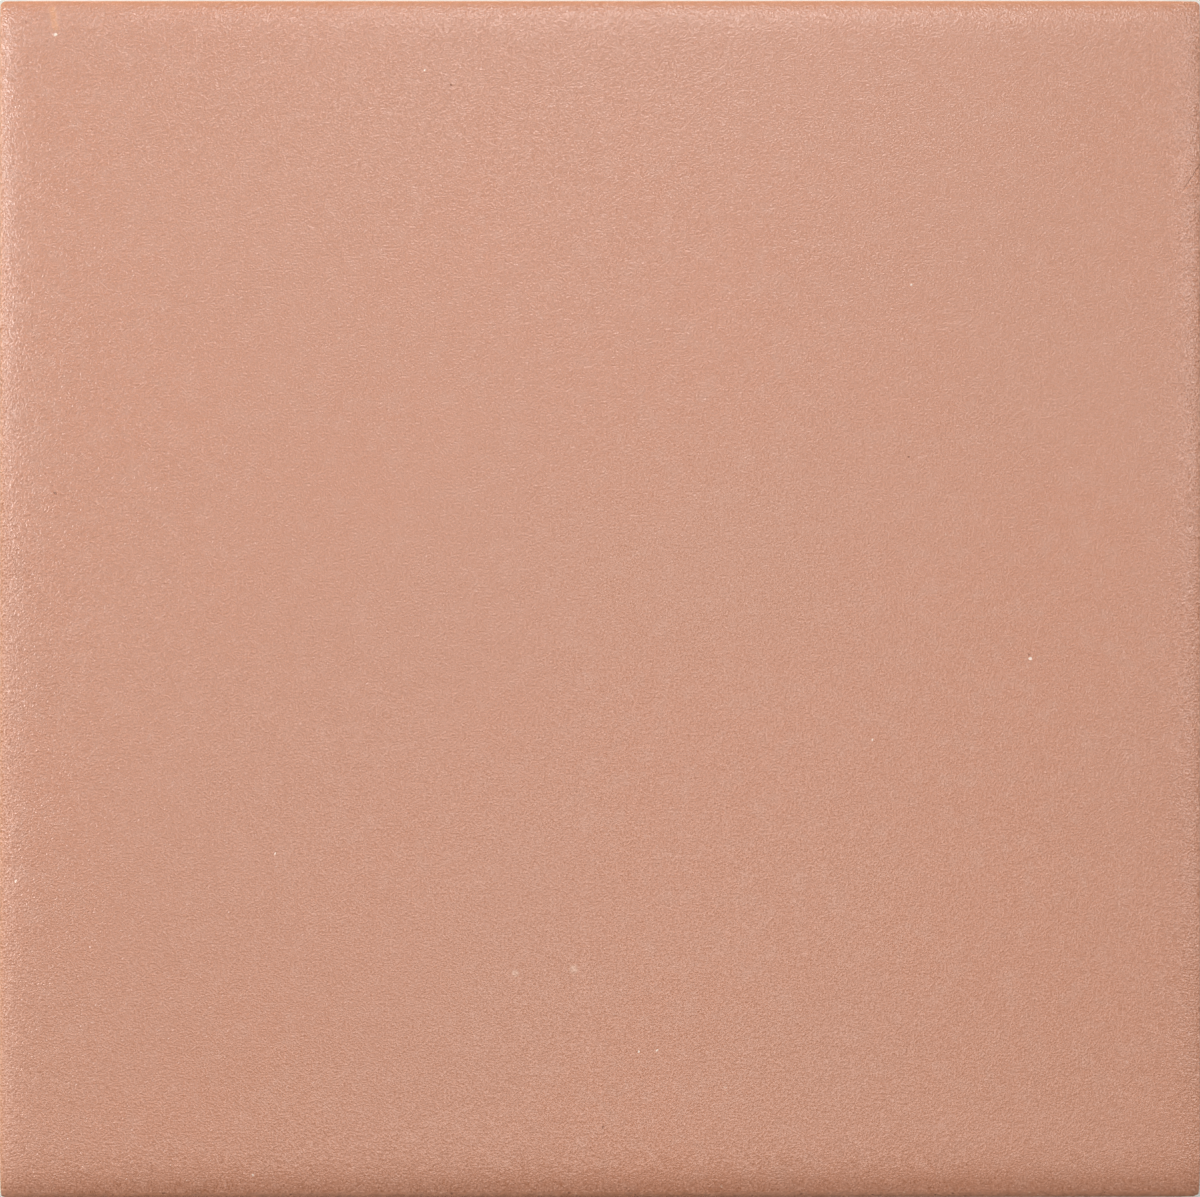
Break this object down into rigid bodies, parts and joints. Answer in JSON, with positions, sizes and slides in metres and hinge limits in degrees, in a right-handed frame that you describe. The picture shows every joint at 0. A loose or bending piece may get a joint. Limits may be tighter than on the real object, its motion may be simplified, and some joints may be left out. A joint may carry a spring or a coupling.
{
  "type": "terracotta floor tile",
  "caption": "Square unglazed terracotta floor tile with a fine-grained face, softly falling edges and a ribbed back that the bedding mortar grips.",
  "frame": {"origin": "middle of the tile's back, on the level of its ribs and rim", "axes": "+Z out of the face, +X and +Y along the sides"},
  "size_m": [0.15, 0.15, 0.009],
  "materials": {
    "fired_clay": "unglazed satin terracotta with a fine pebbled grain"
  },
  "bodies": {
    "root": {"floor_tile": "fired_clay"}
  },
  "joints": []
}
